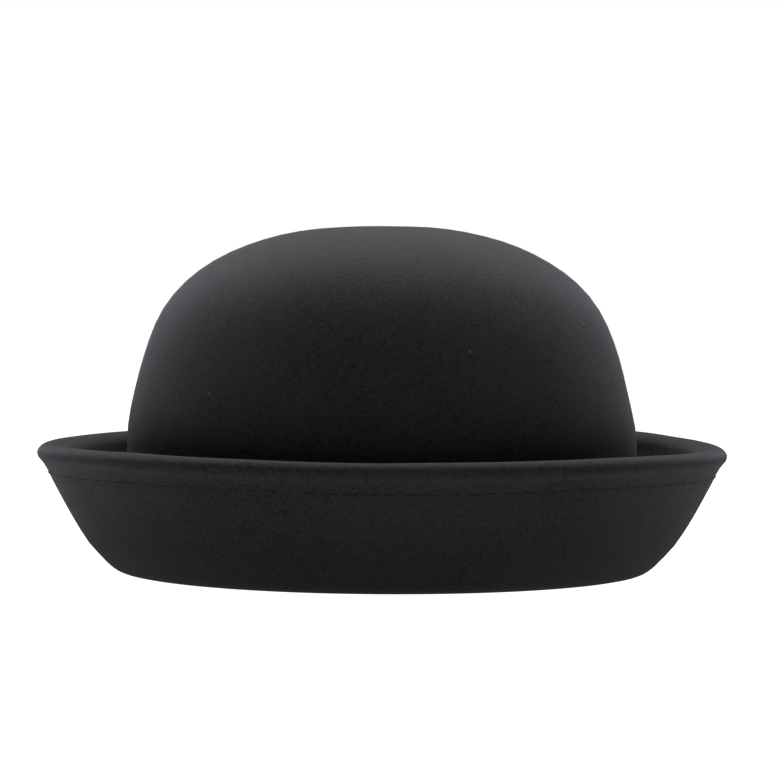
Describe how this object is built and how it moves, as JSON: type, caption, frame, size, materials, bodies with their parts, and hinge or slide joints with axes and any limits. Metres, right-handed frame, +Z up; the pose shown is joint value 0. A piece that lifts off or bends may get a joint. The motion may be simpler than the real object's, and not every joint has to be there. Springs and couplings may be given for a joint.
{
  "type": "bowler hat",
  "caption": "Black wool felt roll-brim bowler hat: domed crown, brim turned up all round with a wired, hemmed and stitched rim, ribbon sweatband and blank labels inside.",
  "frame": {"origin": "middle of the hat's footprint, on the narrow ring of brim underside that rests on a table", "axes": "+Z up through the crown, -Y to the wearer's front, +X across the hat; the oval is longest along Y"},
  "size_m": [0.236, 0.2738, 0.119],
  "materials": {
    "wool_felt": "matte wool felt with a fine fibrous nap",
    "spring_wire": "drawn spring steel",
    "brass_tube": "plain brass, crimped",
    "black_thread": "spun polyester sewing thread",
    "grosgrain_ribbon": "ribbed grosgrain ribbon",
    "satin_label": "woven white satin tape, blank"
  },
  "bodies": {
    "hat": {"felt_body": "wool_felt", "brim_wire": "spring_wire", "wire_joiner": "brass_tube", "hem_stitching": "black_thread", "sweatband": "grosgrain_ribbon", "sweatband_stitching": "black_thread", "join_stitching": "black_thread", "size_label": "satin_label", "label_stitching": "black_thread"},
    "care_label": {"care_label": "satin_label"}
  },
  "joints": [
    {"name": "care_label_flap", "type": "hinge", "parent": "hat", "child": "care_label", "pos_m": [0, 0.09775, 0.034], "axis": [-1, 0, 0], "range_deg": [0, 150]}
  ]
}
